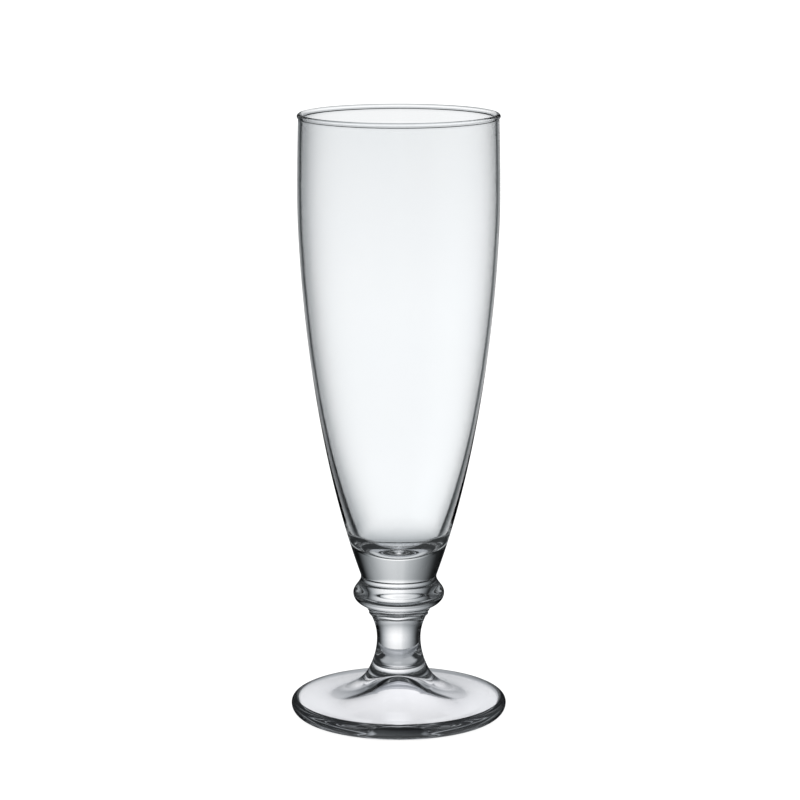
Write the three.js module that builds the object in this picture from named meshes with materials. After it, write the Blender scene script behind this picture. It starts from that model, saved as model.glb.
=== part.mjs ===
// Footed drinking glass in clear soda-lime glass: a tall blown bowl on a collar, a short
// waisted stem and a heavy round foot, four gathers of glass fused one on top of the other.
// Millimetres, +Z up, with the origin at the centre of the ring that the foot stands on.
import * as THREE from 'three';

// Foot: a thick disc, rounded below and above the widest place of its edge, that flares up to the stem
const FOOT_DIAMETER = 68;
const FOOT_EDGE_BELOW = 3.2;
const FOOT_EDGE_ABOVE = 2;
const FOOT_RISE = 9;
const FOOT_TOP_REACH = 14;
const FOOT_FLARE_REACH = 5.5;

// Foot, underneath: a flat ring to stand on, and inside it a hollow, shallow out to a knee and peaked within
const REST_RING_WIDTH = 3.6;
const HOLLOW_RISE = 10.6;
const HOLLOW_CROWN_REACH = 3;
const HOLLOW_KNEE_DIAMETER = 17;
const HOLLOW_KNEE_HEIGHT = 5.3;
const HOLLOW_KNEE_SLOPE = 32;
const HOLLOW_KNEE_REACH_IN = 2.5;
const HOLLOW_KNEE_REACH_OUT = 3;
const HOLLOW_SKIRT_REACH = 12;
const HOLLOW_SKIRT_RISE = 0.6;

// Stem: a solid rod drawn in to a waist, with a seam to the foot and a seam to the knop
const STEM_WAIST_DIAMETER = 13.8;
const STEM_BELOW_WAIST = 10;
const STEM_ABOVE_WAIST = 10;
const FOOT_SEAM_DIAMETER = 18.7;
const KNOP_SEAM_DIAMETER = 20.4;

// Knop: a solid collar with a rounded nose, under the groove that sets off the bowl
const KNOP_DIAMETER = 28.7;
const KNOP_BELOW_NOSE = 4.8;
const KNOP_ABOVE_NOSE = 5.2;
const NOSE_ROUND_BELOW = 3.3;
const NOSE_ROUND_ABOVE = 1.85;
const KNOP_SPREAD_ANGLE = 24;
const KNOP_SPREAD_REACH = 1;
const GROOVE_DIAMETER = 23.8;
const GROOVE_REACH = 2;

// Bowl, outside: it flares from the groove, swells to its widest and draws in a little to the rim
const BOWL_DIAMETER = 62.5;
const BOWL_BELOW_WIDEST = 119;
const BOWL_ABOVE_WIDEST = 26.8;
const BOWL_GROOVE_RADIUS = 2.6;
const BOWL_FLARE_ANGLE = 19.7;
const BOWL_FLARE_REACH = 49;
const BOWL_SHOULDER_REACH = 14;

// Bowl, rim: the edge is melted to a bead that stands proud of the wall on both sides
const RIM_DIAMETER = 62.5;
const RIM_WALL = 1.2;
const BEAD_PROUD_OUTSIDE = 0.4;
const BEAD_PROUD_INSIDE = 0.1;

// Bowl, inside: the wall thickens on its way down to a rounded floor over a solid base
const WIDEST_WALL = 1.1;
const FLOOR_WALL = 3;
const FLOOR_THICKNESS = 7.7;
const FLOOR_CORNER_HEIGHT = 7.8;
const FLOOR_CORNER_REACH = 5;
const FLOOR_FLAT_REACH = 7;
const WALL_TAPER = 5;

// Facets: how many go round the glass, and how many points each stretch of an outline gets
const FACETS_ROUND = 48;
const LONG_CURVE_STEPS = 12;
const SHORT_CURVE_STEPS = 6;
const EDGE_STEPS = 4;
const BEAD_STEPS = 9;

// The pieces stand on one another, so each one starts where the piece below ends
const FOOT_EDGE = FOOT_EDGE_BELOW + FOOT_EDGE_ABOVE;
const FOOT_HEIGHT = FOOT_EDGE + FOOT_RISE;
const STEM_HEIGHT = STEM_BELOW_WAIST + STEM_ABOVE_WAIST;
const KNOP_HEIGHT = KNOP_BELOW_NOSE + KNOP_ABOVE_NOSE;
const BOWL_HEIGHT = BOWL_BELOW_WIDEST + BOWL_ABOVE_WIDEST;
const STEM_BASE = FOOT_HEIGHT;
const KNOP_BASE = STEM_BASE + STEM_HEIGHT;
const BOWL_BASE = KNOP_BASE + KNOP_HEIGHT;

// In an outline x is the distance from the axis and y the height above the piece's own base
function point(radius, height) {
  return new THREE.Vector2(radius, height);
}

// A point reached from another one, at an angle from the vertical and over a length
function reach(from, angleFromUp, length) {
  const angle = THREE.MathUtils.degToRad(angleFromUp);
  return point(from.x + length * Math.sin(angle), from.y + length * Math.cos(angle));
}

// The radius of a curve at a height; its height climbs all the way
function radiusAt(curve, height) {
  let low = 0;
  let high = 1;
  while (high - low > 1e-9) {
    const middle = (low + high) / 2;
    if (curve.getPoint(middle).y < height) {
      low = middle;
    } else {
      high = middle;
    }
  }
  return curve.getPoint(low).x;
}

// Joins stretches of outline, each of which starts where the one before it ended
function joined(...stretches) {
  return stretches.flatMap((points, index) => (index ? points.slice(1) : points));
}

// Clear soda-lime glass with a fire-polished surface, a shade cooler where it is thick
function clearGlass(colour) {
  return new THREE.MeshStandardMaterial({
    color: colour,
    roughness: 0.03,
    metalness: 0,
    transparent: true,
    opacity: 0.35,
  });
}

// Turns an outline about the glass's axis into a solid and stands it at its height
function turned(name, outline, material, base) {
  const geometry = new THREE.LatheGeometry(outline, FACETS_ROUND);
  geometry.rotateX(Math.PI / 2);
  const mesh = new THREE.Mesh(geometry, material);
  mesh.name = name;
  mesh.position.z = base;
  return mesh;
}

// The slope of the stem at the foot's seam, which the foot's flare carries on
const footSeam = point(FOOT_SEAM_DIAMETER / 2, FOOT_HEIGHT);
const stemSpread = FOOT_SEAM_DIAMETER / 2 - STEM_WAIST_DIAMETER / 2;
const footFlareAngle = THREE.MathUtils.radToDeg(Math.atan2(stemSpread, -STEM_BELOW_WAIST / 2));

function makeFoot() {
  const restOuter = FOOT_DIAMETER / 2 - FOOT_EDGE_BELOW;
  const restInner = restOuter - REST_RING_WIDTH;
  const ring = point(restInner, 0);
  const knee = point(HOLLOW_KNEE_DIAMETER / 2, HOLLOW_KNEE_HEIGHT);
  const kneeAngle = 90 + HOLLOW_KNEE_SLOPE;
  const crown = new THREE.CubicBezierCurve(
    point(0, HOLLOW_RISE),
    point(HOLLOW_CROWN_REACH, HOLLOW_RISE),
    reach(knee, kneeAngle, -HOLLOW_KNEE_REACH_IN),
    knee);
  const skirt = new THREE.CubicBezierCurve(
    knee,
    reach(knee, kneeAngle, HOLLOW_KNEE_REACH_OUT),
    point(restInner - HOLLOW_SKIRT_REACH, HOLLOW_SKIRT_RISE),
    ring);
  const shoulder = point(FOOT_DIAMETER / 2 - FOOT_EDGE_ABOVE, FOOT_EDGE);
  const edgeBelow = new THREE.EllipseCurve(
    restOuter, FOOT_EDGE_BELOW, FOOT_EDGE_BELOW, FOOT_EDGE_BELOW, -Math.PI / 2, 0);
  const edgeAbove = new THREE.EllipseCurve(
    shoulder.x, FOOT_EDGE_BELOW, FOOT_EDGE_ABOVE, FOOT_EDGE_ABOVE, 0, Math.PI / 2);
  const top = new THREE.CubicBezierCurve(
    shoulder,
    point(shoulder.x - FOOT_TOP_REACH, FOOT_EDGE),
    reach(footSeam, footFlareAngle, FOOT_FLARE_REACH),
    footSeam);
  const outline = joined(
    crown.getPoints(SHORT_CURVE_STEPS),
    skirt.getPoints(LONG_CURVE_STEPS),
    [ring, point(restOuter, 0)],
    edgeBelow.getPoints(EDGE_STEPS),
    edgeAbove.getPoints(EDGE_STEPS),
    top.getPoints(LONG_CURVE_STEPS),
    [footSeam, point(0, FOOT_HEIGHT)]);
  return turned('foot', outline, clearGlass('#dfe3e4'), 0);
}

function makeStem() {
  const waistRadius = STEM_WAIST_DIAMETER / 2;
  const bottom = point(FOOT_SEAM_DIAMETER / 2, 0);
  const waist = point(waistRadius, STEM_BELOW_WAIST);
  const top = point(KNOP_SEAM_DIAMETER / 2, STEM_HEIGHT);
  const lower = new THREE.QuadraticBezierCurve(bottom, point(waistRadius, STEM_BELOW_WAIST / 2), waist);
  const upper = new THREE.QuadraticBezierCurve(
    waist, point(waistRadius, STEM_BELOW_WAIST + STEM_ABOVE_WAIST / 2), top);
  const outline = joined(
    [point(0, 0), bottom],
    lower.getPoints(SHORT_CURVE_STEPS),
    upper.getPoints(SHORT_CURVE_STEPS),
    [top, point(0, STEM_HEIGHT)]);
  return turned('stem', outline, clearGlass('#e6e9ea'), STEM_BASE);
}

function makeKnop() {
  const bottom = point(KNOP_SEAM_DIAMETER / 2, 0);
  const nose = point(KNOP_DIAMETER / 2, KNOP_BELOW_NOSE);
  const top = point(GROOVE_DIAMETER / 2, KNOP_HEIGHT);
  const lower = new THREE.CubicBezierCurve(
    bottom,
    reach(bottom, KNOP_SPREAD_ANGLE, KNOP_SPREAD_REACH),
    point(nose.x, nose.y - NOSE_ROUND_BELOW),
    nose);
  const upper = new THREE.CubicBezierCurve(
    nose,
    point(nose.x, nose.y + NOSE_ROUND_ABOVE),
    point(top.x, top.y - GROOVE_REACH),
    top);
  const outline = joined(
    [point(0, 0), bottom],
    lower.getPoints(SHORT_CURVE_STEPS),
    upper.getPoints(SHORT_CURVE_STEPS),
    [top, point(0, KNOP_HEIGHT)]);
  return turned('knop', outline, clearGlass('#dfe3e4'), KNOP_BASE);
}

function makeBowl() {
  const groove = point(GROOVE_DIAMETER / 2, 0);
  const widest = point(BOWL_DIAMETER / 2, BOWL_BELOW_WIDEST);

  // The groove is rounded, so the wall starts upright and leans out over a short arc
  const leanOut = new THREE.EllipseCurve(
    groove.x + BOWL_GROOVE_RADIUS, 0, BOWL_GROOVE_RADIUS, BOWL_GROOVE_RADIUS,
    Math.PI, Math.PI - THREE.MathUtils.degToRad(BOWL_FLARE_ANGLE), true);
  const flareStart = leanOut.getPoint(1);
  const outside = new THREE.CubicBezierCurve(
    flareStart,
    reach(flareStart, BOWL_FLARE_ANGLE, BOWL_FLARE_REACH),
    point(widest.x, widest.y - BOWL_SHOULDER_REACH),
    widest);

  // The bead is as thick as the wall and what stands proud of it on either side
  const beadRadius = (BEAD_PROUD_OUTSIDE + RIM_WALL + BEAD_PROUD_INSIDE) / 2;
  const beadCentre = point(RIM_DIAMETER / 2 - beadRadius, BOWL_HEIGHT - beadRadius);
  const beadStart = -Math.acos(1 - BEAD_PROUD_OUTSIDE / beadRadius);
  const beadEnd = Math.PI + Math.acos(1 - BEAD_PROUD_INSIDE / beadRadius);
  const bead = new THREE.EllipseCurve(
    beadCentre.x, beadCentre.y, beadRadius, beadRadius, beadStart, beadEnd);
  const neckOutside = bead.getPoint(0);
  const neckInside = bead.getPoint(1);
  const drawnIn = new THREE.QuadraticBezierCurve(
    widest, point(widest.x, (widest.y + neckOutside.y) / 2), neckOutside);
  const widestInside = point(widest.x - WIDEST_WALL, widest.y);
  const drawnInInside = new THREE.QuadraticBezierCurve(
    neckInside, point(widestInside.x, (widest.y + neckInside.y) / 2), widestInside);

  // Between the widest place and the floor's corner the wall thickens faster and faster
  const cornerTop = FLOOR_THICKNESS + FLOOR_CORNER_HEIGHT;
  const insideHeights = Array.from({ length: LONG_CURVE_STEPS + 1 }, (_, step) =>
    THREE.MathUtils.lerp(widest.y, cornerTop, step / LONG_CURVE_STEPS));
  const inside = insideHeights.map((height) => {
    const climb = (height - cornerTop) / (widest.y - cornerTop);
    const wall = WIDEST_WALL + (FLOOR_WALL - WIDEST_WALL) * (1 - climb) ** WALL_TAPER;
    return point(radiusAt(outside, height) - wall, height);
  });
  const corner = inside.at(-1);
  const aboveCorner = inside.at(-2);
  const cornerAngle = THREE.MathUtils.radToDeg(
    Math.atan2(corner.x - aboveCorner.x, corner.y - aboveCorner.y));
  const floor = new THREE.CubicBezierCurve(
    corner,
    reach(corner, cornerAngle, FLOOR_CORNER_REACH),
    point(FLOOR_FLAT_REACH, FLOOR_THICKNESS),
    point(0, FLOOR_THICKNESS));

  const outline = joined(
    [point(0, 0), groove],
    leanOut.getPoints(EDGE_STEPS),
    outside.getPoints(LONG_CURVE_STEPS),
    drawnIn.getPoints(SHORT_CURVE_STEPS),
    bead.getPoints(BEAD_STEPS),
    drawnInInside.getPoints(SHORT_CURVE_STEPS),
    inside,
    floor.getPoints(SHORT_CURVE_STEPS));
  return turned('bowl', outline, clearGlass('#eef1f2'), BOWL_BASE);
}

const group = new THREE.Group();
group.name = 'footed_glass';
group.add(makeFoot(), makeStem(), makeKnop(), makeBowl());

export default group;
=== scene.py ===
from itertools import pairwise
from math import acos, atan2, cos, pi, radians, sin

import bpy
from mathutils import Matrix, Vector
from mathutils.geometry import interpolate_bezier


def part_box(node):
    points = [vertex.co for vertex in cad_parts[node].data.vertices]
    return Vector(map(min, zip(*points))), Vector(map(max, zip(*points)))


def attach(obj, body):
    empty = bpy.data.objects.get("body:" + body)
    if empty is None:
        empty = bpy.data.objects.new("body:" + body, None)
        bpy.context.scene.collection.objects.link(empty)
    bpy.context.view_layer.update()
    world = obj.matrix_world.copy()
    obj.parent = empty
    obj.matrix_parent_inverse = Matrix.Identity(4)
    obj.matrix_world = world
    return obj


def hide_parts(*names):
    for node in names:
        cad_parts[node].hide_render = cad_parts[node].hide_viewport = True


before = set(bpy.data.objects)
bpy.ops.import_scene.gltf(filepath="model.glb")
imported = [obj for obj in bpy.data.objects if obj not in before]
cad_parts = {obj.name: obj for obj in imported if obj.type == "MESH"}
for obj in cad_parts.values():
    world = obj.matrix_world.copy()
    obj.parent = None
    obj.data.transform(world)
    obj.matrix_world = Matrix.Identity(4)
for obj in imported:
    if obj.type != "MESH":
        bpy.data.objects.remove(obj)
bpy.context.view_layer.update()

# Foot: a thick disc of clear glass, pressed in a mould, that stands on a narrow ring under its edge.
# The hollow inside the ring is shallow out to a knee and peaked within it, under the flare to the stem.
# It is fused to the stem while both are hot.
MM = 0.001
FACETS = 256
LONG_STEPS = 64
SHORT_STEPS = 24
SAME_POINT = 0.0001 * MM
SAME_HEIGHT = 0.001 * MM
SMOOTH_UP_TO = radians(40)
foot_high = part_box("foot")[1]
FOOT_RADIUS = foot_high.x
FOOT_TOP = foot_high.z
FOOT_EDGE_BELOW = 3.2 * MM
FOOT_EDGE_ABOVE = 2 * MM
FOOT_TOP_REACH = 14 * MM
FOOT_FLARE_REACH = 5.5 * MM
REST_RING_WIDTH = 3.6 * MM
HOLLOW_RISE = 10.6 * MM
HOLLOW_CROWN_REACH = 3 * MM
HOLLOW_KNEE_RADIUS = 8.5 * MM
HOLLOW_KNEE_HEIGHT = 5.3 * MM
HOLLOW_KNEE_ANGLE = radians(122)
HOLLOW_KNEE_REACH_IN = 2.5 * MM
HOLLOW_KNEE_REACH_OUT = 3 * MM
HOLLOW_SKIRT_REACH = 12 * MM
HOLLOW_SKIRT_RISE = 0.6 * MM
SEAM_RADIUS = 9.35 * MM
WAIST_RADIUS = 6.9 * MM
WAIST_HEIGHT = FOOT_TOP + 10 * MM
GLASS_IOR = 1.5
CLOUD_SCALE = 40
CLOUD_DETAIL = 2
LEAST_HAZE = 0.02
MOST_HAZE = 0.035
RIPPLE_SCALE = 90
RIPPLE_DETAIL = 0
RIPPLE_STRENGTH = 0.2
RIPPLE_DEPTH = 0.05 * MM
# The foot's tint is the glass's faint cool colour plus painted shade: darker than the other pieces' glass, for
# the foot's greyer look.
FOOT_TINT_AND_PAINTED_SHADE = (0.825, 0.835, 0.879)


def spot(radius, height):
    """A point of an outline, at a distance from the axis and a height above the table."""
    return Vector((radius, 0, height))


def along(start, angle_from_up, length):
    """The point that lies a length away from another, at an angle from the vertical."""
    return start + spot(length * sin(angle_from_up), length * cos(angle_from_up))


def curve(start, leaving, arriving, end, steps):
    """Points of a smooth curve that leaves its start and arrives at its end along two handles."""
    return interpolate_bezier(start, leaving, arriving, end, steps + 1)


def arc(centre, radius, start_angle, end_angle, steps):
    """Points of an arc, with its angles counted up from the outward direction."""
    angles = [start_angle + (end_angle - start_angle) * step / steps for step in range(steps + 1)]
    return [centre + spot(radius * cos(angle), radius * sin(angle)) for angle in angles]


def turn(name, outline):
    """Draws an outline by pulling a vertex from point to point, and spins it about the axis."""
    bpy.ops.object.select_all(action="DESELECT")
    bpy.ops.mesh.primitive_plane_add(size=MM, location=(0, 0, 0))
    piece = bpy.context.object
    piece.name = name
    piece.data.name = name
    bpy.ops.object.mode_set(mode="EDIT")
    bpy.ops.mesh.select_mode(type="VERT")
    bpy.ops.mesh.merge(type="CENTER")
    bpy.ops.transform.translate(value=outline[0])
    for start, end in pairwise(outline):
        if (end - start).length > SAME_POINT:
            bpy.ops.mesh.extrude_vertices_move(TRANSFORM_OT_translate={"value": end - start})
    bpy.ops.mesh.select_all(action="SELECT")
    bpy.ops.mesh.spin(steps=FACETS, angle=2 * pi, center=(0, 0, 0), axis=(0, 0, 1))
    bpy.ops.mesh.select_all(action="SELECT")
    bpy.ops.mesh.remove_doubles(threshold=SAME_POINT)
    bpy.ops.mesh.normals_make_consistent(inside=False)
    bpy.ops.object.mode_set(mode="OBJECT")
    bpy.ops.object.shade_smooth_by_angle(angle=SMOOTH_UP_TO)
    return piece


def clear_glass(name, tint):
    """Clear soda-lime glass, fire-polished: faintly cool, with slow ripples and a trace of haze; the foot's
    darker tint is painted shade.
    """
    material = bpy.data.materials.new(name)
    material.use_nodes = True
    nodes = material.node_tree.nodes
    links = material.node_tree.links
    shader = nodes["Principled BSDF"]
    shader.inputs["Transmission Weight"].default_value = 1
    shader.inputs["IOR"].default_value = GLASS_IOR
    place = nodes.new("ShaderNodeTexCoord")

    clouds = nodes.new("ShaderNodeTexNoise")
    clouds.inputs["Scale"].default_value = CLOUD_SCALE
    clouds.inputs["Detail"].default_value = CLOUD_DETAIL
    colours = nodes.new("ShaderNodeValToRGB")
    half_way_to_white = [(1 + channel) / 2 for channel in tint]
    colours.color_ramp.elements[0].color = (*tint, 1)
    colours.color_ramp.elements[1].color = (*half_way_to_white, 1)
    links.new(place.outputs["Object"], clouds.inputs["Vector"])
    links.new(clouds.outputs["Fac"], colours.inputs["Fac"])
    links.new(colours.outputs["Color"], shader.inputs["Base Color"])

    haze = nodes.new("ShaderNodeMapRange")
    haze.inputs["To Min"].default_value = LEAST_HAZE
    haze.inputs["To Max"].default_value = MOST_HAZE
    links.new(clouds.outputs["Fac"], haze.inputs["Value"])
    links.new(haze.outputs["Result"], shader.inputs["Roughness"])

    ripples = nodes.new("ShaderNodeTexNoise")
    ripples.inputs["Scale"].default_value = RIPPLE_SCALE
    ripples.inputs["Detail"].default_value = RIPPLE_DETAIL
    bump = nodes.new("ShaderNodeBump")
    bump.inputs["Strength"].default_value = RIPPLE_STRENGTH
    bump.inputs["Distance"].default_value = RIPPLE_DEPTH
    links.new(place.outputs["Object"], ripples.inputs["Vector"])
    links.new(ripples.outputs["Fac"], bump.inputs["Height"])
    links.new(bump.outputs["Normal"], shader.inputs["Normal"])
    return material


fused_seam = bpy.data.materials.new("fused_seam")
fused_seam.use_nodes = True
seam_nodes = fused_seam.node_tree.nodes
seam_nodes.remove(seam_nodes["Principled BSDF"])
see_through = seam_nodes.new("ShaderNodeBsdfTransparent")
fused_seam.node_tree.links.new(
    see_through.outputs["BSDF"], seam_nodes["Material Output"].inputs["Surface"])


def dress(piece, glass, *seams):
    """Gives a piece its glass, and lets light pass straight through the flat faces at its fused seams."""
    piece.data.materials.append(glass)
    piece.data.materials.append(fused_seam)
    bpy.ops.object.mode_set(mode="EDIT")
    bpy.ops.mesh.select_mode(type="FACE")
    bpy.ops.mesh.select_all(action="DESELECT")
    bpy.ops.object.mode_set(mode="OBJECT")
    for face in piece.data.polygons:
        face.select = any(abs(face.center.z - height) < SAME_HEIGHT for height in seams)
    bpy.ops.object.mode_set(mode="EDIT")
    piece.active_material_index = 1
    bpy.ops.object.material_slot_assign()
    bpy.ops.object.mode_set(mode="OBJECT")
    piece.active_material_index = 0


rest_outer = FOOT_RADIUS - FOOT_EDGE_BELOW
rest_inner = rest_outer - REST_RING_WIDTH
foot_shoulder = spot(FOOT_RADIUS - FOOT_EDGE_ABOVE, FOOT_EDGE_BELOW + FOOT_EDGE_ABOVE)
stem_slope = atan2(SEAM_RADIUS - WAIST_RADIUS, (FOOT_TOP - WAIST_HEIGHT) / 2)
foot_seam = spot(SEAM_RADIUS, FOOT_TOP)
knee = spot(HOLLOW_KNEE_RADIUS, HOLLOW_KNEE_HEIGHT)
crown = curve(
    spot(0, HOLLOW_RISE), spot(HOLLOW_CROWN_REACH, HOLLOW_RISE),
    along(knee, HOLLOW_KNEE_ANGLE, -HOLLOW_KNEE_REACH_IN), knee, LONG_STEPS)
skirt = curve(
    knee, along(knee, HOLLOW_KNEE_ANGLE, HOLLOW_KNEE_REACH_OUT),
    spot(rest_inner - HOLLOW_SKIRT_REACH, HOLLOW_SKIRT_RISE), spot(rest_inner, 0), LONG_STEPS)
edge_below = arc(spot(rest_outer, FOOT_EDGE_BELOW), FOOT_EDGE_BELOW, -pi / 2, 0, SHORT_STEPS)
edge_above = arc(spot(foot_shoulder.x, FOOT_EDGE_BELOW), FOOT_EDGE_ABOVE, 0, pi / 2, SHORT_STEPS)
foot_top = curve(
    foot_shoulder, foot_shoulder - spot(FOOT_TOP_REACH, 0),
    along(foot_seam, stem_slope, FOOT_FLARE_REACH), foot_seam, LONG_STEPS)
foot = turn("foot_disc", crown + skirt + edge_below + edge_above + foot_top + [spot(0, FOOT_TOP)])
# The foot's glass carries painted shade in its darker tint.
dress(foot, clear_glass("foot_glass", FOOT_TINT_AND_PAINTED_SHADE), FOOT_TOP)
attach(foot, "root")
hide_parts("foot")

# Stem: a short solid rod of the same glass, drawn in to a waist while soft.
# It is fused to the foot below and to the knop above, where the weld leaves a low wavy ridge.
stem_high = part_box("stem")[1]
STEM_TOP = stem_high.z
NECK_RADIUS = stem_high.x
WELD_HEIGHT = STEM_TOP - 2 * MM
WELD_PROUD = 0.32 * MM
WELD_HALF_WIDTH = 0.65 * MM
WELD_WANDER = 0.12 * MM
WELD_LONG_WAVES = 3
WELD_SHORT_WAVES = 7
WELD_SHORT_START = 1
STEM_TINT = (0.912, 0.929, 0.95)


def soft_curve(start, middle, end, steps):
    """Points of a smooth curve that heads for one middle handle and turns there to its end."""
    leaving = start.lerp(middle, 2 / 3)
    arriving = end.lerp(middle, 2 / 3)
    return curve(start, leaving, arriving, end, steps)


stem_lower = soft_curve(
    foot_seam, spot(WAIST_RADIUS, (FOOT_TOP + WAIST_HEIGHT) / 2),
    spot(WAIST_RADIUS, WAIST_HEIGHT), SHORT_STEPS)
stem_upper = soft_curve(
    spot(WAIST_RADIUS, WAIST_HEIGHT), spot(WAIST_RADIUS, (WAIST_HEIGHT + STEM_TOP) / 2),
    spot(NECK_RADIUS, STEM_TOP), 2 * LONG_STEPS)
stem = turn("stem_rod", [spot(0, FOOT_TOP)] + stem_lower + stem_upper + [spot(0, STEM_TOP)])
for vertex in stem.data.vertices:
    round_about = atan2(vertex.co.y, vertex.co.x)
    long_wave = sin(WELD_LONG_WAVES * round_about)
    short_wave = sin(WELD_SHORT_WAVES * round_about + WELD_SHORT_START)
    ridge = WELD_HEIGHT + WELD_WANDER * (long_wave + short_wave)
    off_ridge = (vertex.co.z - ridge) / WELD_HALF_WIDTH
    if abs(off_ridge) < 1:
        radius = vertex.co.xy.length
        vertex.co.xy *= 1 + WELD_PROUD * (1 + cos(pi * off_ridge)) / 2 / radius
dress(stem, clear_glass("stem_glass", STEM_TINT), FOOT_TOP, STEM_TOP)
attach(stem, "root")
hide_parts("stem")

# Knop: a solid collar of glass with a rounded nose, squeezed out between the stem and the bowl.
# Above the nose it draws in to the groove that sets off the bowl. It is fused to both.
knop_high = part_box("knop")[1]
KNOP_RADIUS = knop_high.x
KNOP_TOP = knop_high.z
NOSE_HEIGHT = STEM_TOP + 4.8 * MM
NOSE_ROUND_BELOW = 3.3 * MM
NOSE_ROUND_ABOVE = 1.85 * MM
SPREAD_ANGLE = radians(24)
SPREAD_REACH = 1 * MM
GROOVE_RADIUS = 11.9 * MM
GROOVE_REACH = 2 * MM
KNOP_TINT = (0.938, 0.955, 0.977)
neck = spot(NECK_RADIUS, STEM_TOP)
nose = spot(KNOP_RADIUS, NOSE_HEIGHT)
groove = spot(GROOVE_RADIUS, KNOP_TOP)
knop_lower = curve(
    neck, along(neck, SPREAD_ANGLE, SPREAD_REACH), nose - spot(0, NOSE_ROUND_BELOW), nose, SHORT_STEPS)
knop_upper = curve(
    nose, nose + spot(0, NOSE_ROUND_ABOVE), groove - spot(0, GROOVE_REACH), groove, SHORT_STEPS)
knop = turn("knop_collar", [spot(0, STEM_TOP)] + knop_lower + knop_upper + [spot(0, KNOP_TOP)])
dress(knop, clear_glass("knop_glass", KNOP_TINT), STEM_TOP, KNOP_TOP)
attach(knop, "root")
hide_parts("knop")

# Bowl: the tall cup, blown from one gather of clear glass, with a thick floor that is fused to the knop.
# Its wall thins on the way up, and the cut edge is melted back to a smooth bead.
bowl_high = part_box("bowl")[1]
BOWL_RADIUS = bowl_high.x
BOWL_TOP = bowl_high.z
WIDEST_HEIGHT = KNOP_TOP + 119 * MM
GROOVE_ROUND = 2.6 * MM
FLARE_ANGLE = radians(19.7)
FLARE_REACH = 49 * MM
SHOULDER_REACH = 14 * MM
RIM_RADIUS = 31.25 * MM
RIM_WALL = 1.2 * MM
BEAD_PROUD_OUTSIDE = 0.4 * MM
BEAD_PROUD_INSIDE = 0.1 * MM
WIDEST_WALL = 1.1 * MM
FLOOR_WALL = 3 * MM
FLOOR_THICKNESS = 7.7 * MM
CORNER_HEIGHT = 7.8 * MM
CORNER_REACH = 5 * MM
FLAT_REACH = 7 * MM
WALL_TAPER = 5
BOWL_TINT = (0.967, 0.984, 0.996)


def radius_at(points, height):
    """The radius of a climbing outline at a height."""
    for below, above in pairwise(points):
        if below.z <= height <= above.z:
            return below.lerp(above, (height - below.z) / (above.z - below.z)).x
    return points[-1].x


widest = spot(BOWL_RADIUS, WIDEST_HEIGHT)
lean_out = arc(groove + spot(GROOVE_ROUND, 0), GROOVE_ROUND, pi, pi - FLARE_ANGLE, SHORT_STEPS)
outside = curve(
    lean_out[-1], along(lean_out[-1], FLARE_ANGLE, FLARE_REACH),
    widest - spot(0, SHOULDER_REACH), widest, LONG_STEPS)
bead_radius = (BEAD_PROUD_OUTSIDE + RIM_WALL + BEAD_PROUD_INSIDE) / 2
bead_start = -acos(1 - BEAD_PROUD_OUTSIDE / bead_radius)
bead_end = pi + acos(1 - BEAD_PROUD_INSIDE / bead_radius)
bead_centre = spot(RIM_RADIUS - bead_radius, BOWL_TOP - bead_radius)
bead = arc(bead_centre, bead_radius, bead_start, bead_end, SHORT_STEPS)
drawn_in = soft_curve(widest, spot(widest.x, (widest.z + bead[0].z) / 2), bead[0], SHORT_STEPS)
widest_inside = widest - spot(WIDEST_WALL, 0)
drawn_in_inside = soft_curve(
    bead[-1], spot(widest_inside.x, (widest.z + bead[-1].z) / 2), widest_inside, SHORT_STEPS)
corner_top = KNOP_TOP + FLOOR_THICKNESS + CORNER_HEIGHT
inside = []
for step in range(LONG_STEPS + 1):
    height = widest.z + (corner_top - widest.z) * step / LONG_STEPS
    wall = WIDEST_WALL + (FLOOR_WALL - WIDEST_WALL) * (step / LONG_STEPS) ** WALL_TAPER
    inside.append(spot(radius_at(outside, height) - wall, height))
corner = inside[-1]
wall_slope = corner - inside[-2]
cavity_floor = spot(0, KNOP_TOP + FLOOR_THICKNESS)
floor = curve(
    corner, corner + wall_slope.normalized() * CORNER_REACH,
    cavity_floor + spot(FLAT_REACH, 0), cavity_floor, SHORT_STEPS)
bowl = turn(
    "bowl_cup", [spot(0, KNOP_TOP)] + lean_out + outside + drawn_in + bead + drawn_in_inside + inside + floor)
dress(bowl, clear_glass("bowl_glass", BOWL_TINT), KNOP_TOP)
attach(bowl, "root")
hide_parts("bowl")

# Table: a wide sheet of matt white paper that the glass stands on, evenly lit, without a seam in view.
# It lies a hair below the foot. What the glass bends or mirrors comes from the sweep instead.
TABLE_RADIUS = 8
TABLE_SIDES = 128
TABLE_BELOW = 0.05 * MM
TABLE_GREY = 0.3
TABLE_GLOW = 0.9
WHITE = (1, 1, 1, 1)
bpy.ops.object.select_all(action="DESELECT")
bpy.ops.mesh.primitive_circle_add(
    vertices=TABLE_SIDES, radius=TABLE_RADIUS, fill_type="NGON", location=(0, 0, -TABLE_BELOW))
table = bpy.context.object
table.name = "table"
table_white = bpy.data.materials.new("table_white")
table_white.use_nodes = True
table_shader = table_white.node_tree.nodes["Principled BSDF"]
table_shader.inputs["Base Color"].default_value = (TABLE_GREY, TABLE_GREY, TABLE_GREY, 1)
table_shader.inputs["Roughness"].default_value = 1
table_shader.inputs["Specular IOR Level"].default_value = 0
table_shader.inputs["Emission Color"].default_value = WHITE
table_shader.inputs["Emission Strength"].default_value = TABLE_GLOW
table.data.materials.append(table_white)
table.visible_glossy = False
table.visible_transmission = False

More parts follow.
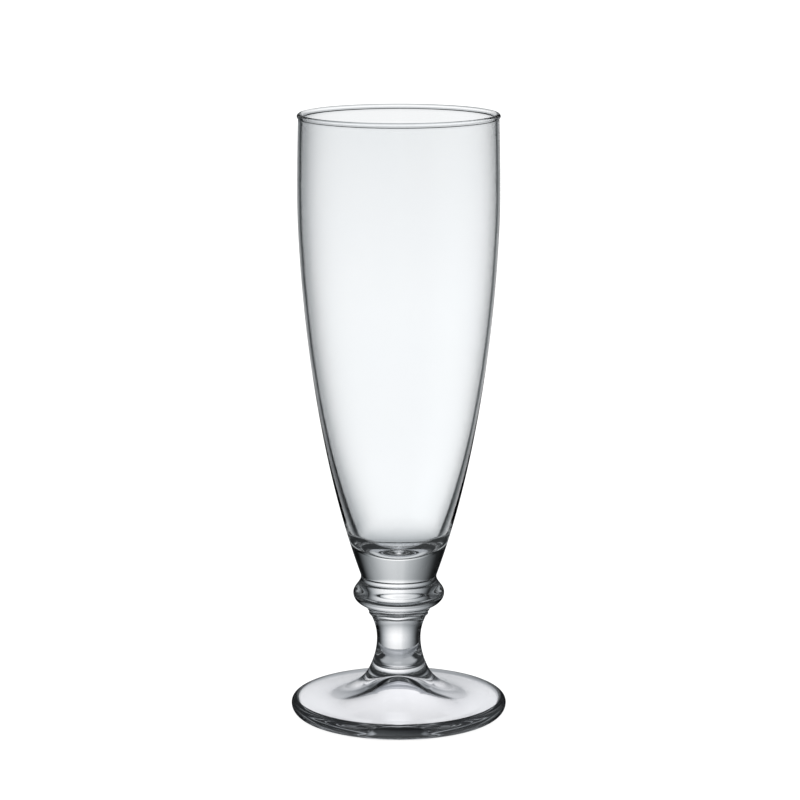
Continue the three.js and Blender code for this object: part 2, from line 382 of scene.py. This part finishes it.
# Sweep: white paper round the glass, with black card beside each sheet, in a dim room with lamps and a window.
# All that the glass bends or mirrors comes from here: the paper fills it, and the card draws its edges.
# Light that was mirrored in the glass meets a narrower sheet, which keeps the edges dark, and more of the room.
SWEEP_RADIUS = 7
SWEEP_CENTRE = 0.1
SWEEP_SIDES = 64
SWEEP_RINGS = 32
UNDER_ONE = 0.5
UNDER_TWO = 1.5
PHOTO_SIDE = -135
BRIGHTNESS_BY_ELEVATION = [
    (-90, 0.6), (-50, 0.48), (-30, 0.94), (-16, 1.13), (-9, 1.13), (0, 0.87), (8, 0.56), (15, 0.78),
    (20, 0.78), (24, 0.1), (40, 0.02)]
# A sheet's black end, white stretch and black end, from left to right in degrees as seen from its side
STRAIGHT_SHEET = (-46, 5, 6, 52)
ONCE_MIRRORED_SHEET = (-33, 2, 4, 35)
OFTEN_MIRRORED_SHEET = (-20, -2, 2, 20)
SURFACE_SHEET = (-11, -4, 4, 11)
OTHER_SHEET = (-30, -2, 2, 30)
OTHER_SIDES = (0, 45, 90)
# Where something is dark and where it is bright, as a share of the sweep's radius towards it
SHEET_TO_FRONT = (-0.35, 0.15)
SHEET_LEAN = (-0.09, 0.06)
LAMP_TO_SIDE = (0.58, 0.7)
WINDOW_TO_RIGHT = (0.5, 0.8)
ROOM_TO_BACK = (0.6, 0.2)
# Where something is dark and where it is bright, in degrees above the horizon
UPPER_SHEET = (0, 8)
OTHER_SHEET_TOP = (35, 15)
TABLE_EDGE = (-30, -55)
LAMP_FOOT = (15, 30)
CEILING_RISE = (5, 75)
SHEET_LEFT_LIGHT = 0.93
SHEET_LEAN_LIGHT = 0.11
SURFACE_LIGHT = 0.5
OTHER_SHEET_LIGHT = 1.13
TABLE_LIGHT = 0.45
LAMP_LIGHT = 0.45
DIM_ROOM_LIGHT = 0.03
CEILING_LIGHT = 0.5
BACK_WALL_LIGHT = 0.06
WINDOW_LIGHT = 0.15
COOL_WHITE = (0.885, 0.955, 1, 1)
sweep_light = bpy.data.materials.new("sweep_light")
sweep_light.use_nodes = True
sweep_light.cycles.emission_sampling = "NONE"
sweep_nodes = sweep_light.node_tree.nodes
sweep_links = sweep_light.node_tree.links
sweep_nodes.remove(sweep_nodes["Principled BSDF"])


def sweep_math(operation, first, second=None):
    """One sum on the way to the sweep's brightness."""
    node = sweep_nodes.new("ShaderNodeMath")
    node.operation = operation
    sweep_links.new(first, node.inputs[0])
    if isinstance(second, (int, float)):
        node.inputs[1].default_value = second
    elif second:
        sweep_links.new(second, node.inputs[1])
    return node.outputs["Value"]


def sweep_fade(value, dark, bright):
    """Fades from black at one value to white at another."""
    node = sweep_nodes.new("ShaderNodeMapRange")
    node.interpolation_type = "SMOOTHSTEP"
    node.inputs["From Min"].default_value = dark
    node.inputs["From Max"].default_value = bright
    sweep_links.new(value, node.inputs["Value"])
    return node.outputs["Result"]


def sweep_part(direction):
    """How far the sweep lies in a direction, as a share of its radius."""
    node = sweep_nodes.new("ShaderNodeVectorMath")
    node.operation = "DOT_PRODUCT"
    node.inputs[1].default_value = direction
    sweep_links.new(outward.outputs["Vector"], node.inputs[0])
    return node.outputs["Value"]


def height_fade(dark, bright):
    """Fades from black at one height on the sweep to white at another, in degrees above the horizon."""
    return sweep_fade(elevation, radians(dark), radians(bright))


def ahead_from(side):
    """The level direction in which the glass is looked at from a side."""
    return Vector((-sin(radians(side)), cos(radians(side)), 0))


def right_from(side):
    """The level direction that lies to the right as the glass is looked at from a side."""
    return Vector((cos(radians(side)), sin(radians(side)), 0))


def paper(side, left_end, left_white, right_white, right_end):
    """The sheet of paper behind the glass, seen from a side: white in its middle, black at its ends."""
    angle = sweep_math("ARCSINE", sweep_part(right_from(side)))
    left = sweep_fade(angle, radians(left_end), radians(left_white))
    right = sweep_fade(angle, radians(right_end), radians(right_white))
    width = sweep_math("MULTIPLY", left, right)
    return sweep_math("MULTIPLY", width, sweep_fade(sweep_part(ahead_from(side)), *SHEET_TO_FRONT))


sweep_place = sweep_nodes.new("ShaderNodeTexCoord")
outward = sweep_nodes.new("ShaderNodeVectorMath")
outward.operation = "NORMALIZE"
sweep_links.new(sweep_place.outputs["Object"], outward.inputs[0])
elevation = sweep_math("ARCSINE", sweep_part((0, 0, 1)))
rightward = sweep_part(right_from(PHOTO_SIDE))
ray = sweep_nodes.new("ShaderNodeLightPath")
through_the_glass = ray.outputs["Is Transmission Ray"]
times_mirrored = ray.outputs["Glossy Depth"]
never_mirrored = sweep_math("LESS_THAN", times_mirrored, UNDER_ONE)
at_most_once = sweep_math("LESS_THAN", times_mirrored, UNDER_TWO)
just_once = sweep_math("COMPARE", times_mirrored, 1)
twice_or_more = sweep_math("GREATER_THAN", times_mirrored, UNDER_TWO)

# The photograph's own sheet, a little lighter towards its right
upper_sheet = sweep_math("MULTIPLY", height_fade(*UPPER_SHEET), at_most_once)
whole_sheet = sweep_math("MAXIMUM", never_mirrored, upper_sheet)
lean = sweep_math("MULTIPLY", sweep_fade(rightward, *SHEET_LEAN), SHEET_LEAN_LIGHT)
lean = sweep_math("ADD", lean, SHEET_LEFT_LIGHT)
straight = sweep_math("MULTIPLY", whole_sheet, lean)
sheets = sweep_math("MULTIPLY", paper(PHOTO_SIDE, *STRAIGHT_SHEET), straight)
narrower = sweep_math("MULTIPLY", paper(PHOTO_SIDE, *ONCE_MIRRORED_SHEET), at_most_once)
sheets = sweep_math("MAXIMUM", sheets, narrower)
sheets = sweep_math("MAXIMUM", sheets, paper(PHOTO_SIDE, *OFTEN_MIRRORED_SHEET))
sheets = sweep_math("MULTIPLY", sheets, through_the_glass)
surface = sweep_math("MULTIPLY", paper(PHOTO_SIDE, *SURFACE_SHEET), SURFACE_LIGHT)
sheets = sweep_math("MAXIMUM", sheets, surface)
height_share = sweep_math("ADD", sweep_math("DIVIDE", elevation, pi), 0.5)
up_the_sweep = sweep_nodes.new("ShaderNodeValToRGB")
stops = up_the_sweep.color_ramp.elements
stops.remove(stops[1])
for number, (degrees, brightness) in enumerate(BRIGHTNESS_BY_ELEVATION):
    position = degrees / 180 + 0.5
    stop = stops[0] if number == 0 else stops.new(position)
    stop.position = position
    stop.color = (brightness, brightness, brightness, 1)
sweep_links.new(height_share, up_the_sweep.inputs["Fac"])
paper_light = sweep_math("MULTIPLY", sheets, up_the_sweep.outputs["Color"])

# The sheets for other sides, and the lit table round the foot
under_its_top = sweep_math("MULTIPLY", height_fade(*OTHER_SHEET_TOP), never_mirrored)
for side in OTHER_SIDES:
    sheet = sweep_math("MULTIPLY", paper(side, *OTHER_SHEET), under_its_top)
    sheet = sweep_math("MULTIPLY", sheet, OTHER_SHEET_LIGHT)
    paper_light = sweep_math("MAXIMUM", paper_light, sheet)
table_light = sweep_math("MULTIPLY", height_fade(*TABLE_EDGE), TABLE_LIGHT)
table_light = sweep_math("MULTIPLY", table_light, at_most_once)
paper_light = sweep_math("MAXIMUM", paper_light, table_light)

# The room: a lamp high up on each side, the wall and ceiling at the camera's back, and a window on the right
beside = sweep_fade(sweep_math("ABSOLUTE", rightward), *LAMP_TO_SIDE)
lamps = sweep_math("MULTIPLY", beside, height_fade(*LAMP_FOOT))
room_light = sweep_math("ADD", sweep_math("MULTIPLY", lamps, LAMP_LIGHT), DIM_ROOM_LIGHT)
room_light = sweep_math("MULTIPLY", room_light, twice_or_more)
behind = sweep_fade(sweep_part(ahead_from(PHOTO_SIDE)), *ROOM_TO_BACK)
behind = sweep_math("MULTIPLY", behind, through_the_glass)
behind = sweep_math("MULTIPLY", behind, just_once)
ceiling = sweep_math("MULTIPLY", height_fade(*CEILING_RISE), CEILING_LIGHT)
ceiling = sweep_math("ADD", ceiling, BACK_WALL_LIGHT)
room_light = sweep_math("ADD", room_light, sweep_math("MULTIPLY", behind, ceiling))
off_the_outside = sweep_math("SUBTRACT", at_most_once, through_the_glass)
off_the_outside = sweep_math("MAXIMUM", off_the_outside, 0)
window = sweep_math("MULTIPLY", sweep_fade(rightward, *WINDOW_TO_RIGHT), off_the_outside)
window = sweep_math("MULTIPLY", window, WINDOW_LIGHT)
room_light = sweep_math("ADD", room_light, window)

# The dimmer the light, the cooler it is
strength = sweep_math("ADD", paper_light, room_light)
cool_to_white = sweep_nodes.new("ShaderNodeValToRGB")
cool_to_white.color_ramp.elements[0].color = COOL_WHITE
cool_to_white.color_ramp.elements[1].color = WHITE
emission = sweep_nodes.new("ShaderNodeEmission")
sweep_links.new(strength, cool_to_white.inputs["Fac"])
sweep_links.new(cool_to_white.outputs["Color"], emission.inputs["Color"])
sweep_links.new(strength, emission.inputs["Strength"])
sweep_links.new(emission.outputs["Emission"], sweep_nodes["Material Output"].inputs["Surface"])
bpy.ops.object.select_all(action="DESELECT")
bpy.ops.mesh.primitive_uv_sphere_add(
    segments=SWEEP_SIDES, ring_count=SWEEP_RINGS, radius=SWEEP_RADIUS, location=(0, 0, SWEEP_CENTRE))
sweep = bpy.context.object
sweep.name = "sweep"
sweep.data.materials.append(sweep_light)
sweep.visible_camera = False
sweep.visible_diffuse = False
sweep.visible_shadow = False

# Light: one even white surround, as in a light tent, for the table and for what lies past the glass.
# Light may cross the glass many times before it counts as lost, because its solid parts mirror it to and fro.
MOST_CROSSINGS = 32
MOST_MIRRORINGS = 16
world = bpy.data.worlds.new("light_tent")
world.use_nodes = True
world.node_tree.nodes["Background"].inputs["Color"].default_value = WHITE
world.node_tree.nodes["Background"].inputs["Strength"].default_value = 1
scene = bpy.context.scene
scene.world = world
world.cycles_visibility.glossy = False
world.cycles_visibility.transmission = False
scene.view_settings.view_transform = "Standard"
scene.cycles.denoising_input_passes = "RGB"
scene.cycles.max_bounces = MOST_CROSSINGS
scene.cycles.transmission_bounces = MOST_CROSSINGS
scene.cycles.glossy_bounces = MOST_MIRRORINGS
scene.cycles.transparent_max_bounces = MOST_CROSSINGS

# Camera: as far away, as high and as much tilted as in the photograph.
# The glass is round, so the side that it stands on is free. Here it is clear of the other sides' sheets.
CAMERA_DISTANCE = 939 * MM
CAMERA_HEIGHT = 282.9 * MM
CAMERA_ASIDE = 0.4 * MM
CAMERA_TILT = radians(90 - 10.99)
CAMERA_LENS = 138.1
CAMERA_SENSOR = 36
camera_data = bpy.data.cameras.new("camera")
camera_data.lens = CAMERA_LENS
camera_data.sensor_width = CAMERA_SENSOR
camera = bpy.data.objects.new("camera", camera_data)
camera.location = (
    CAMERA_ASIDE * right_from(PHOTO_SIDE) - CAMERA_DISTANCE * ahead_from(PHOTO_SIDE) + spot(0, CAMERA_HEIGHT))
camera.rotation_euler = (CAMERA_TILT, 0, radians(PHOTO_SIDE))
scene.collection.objects.link(camera)
scene.camera = camera
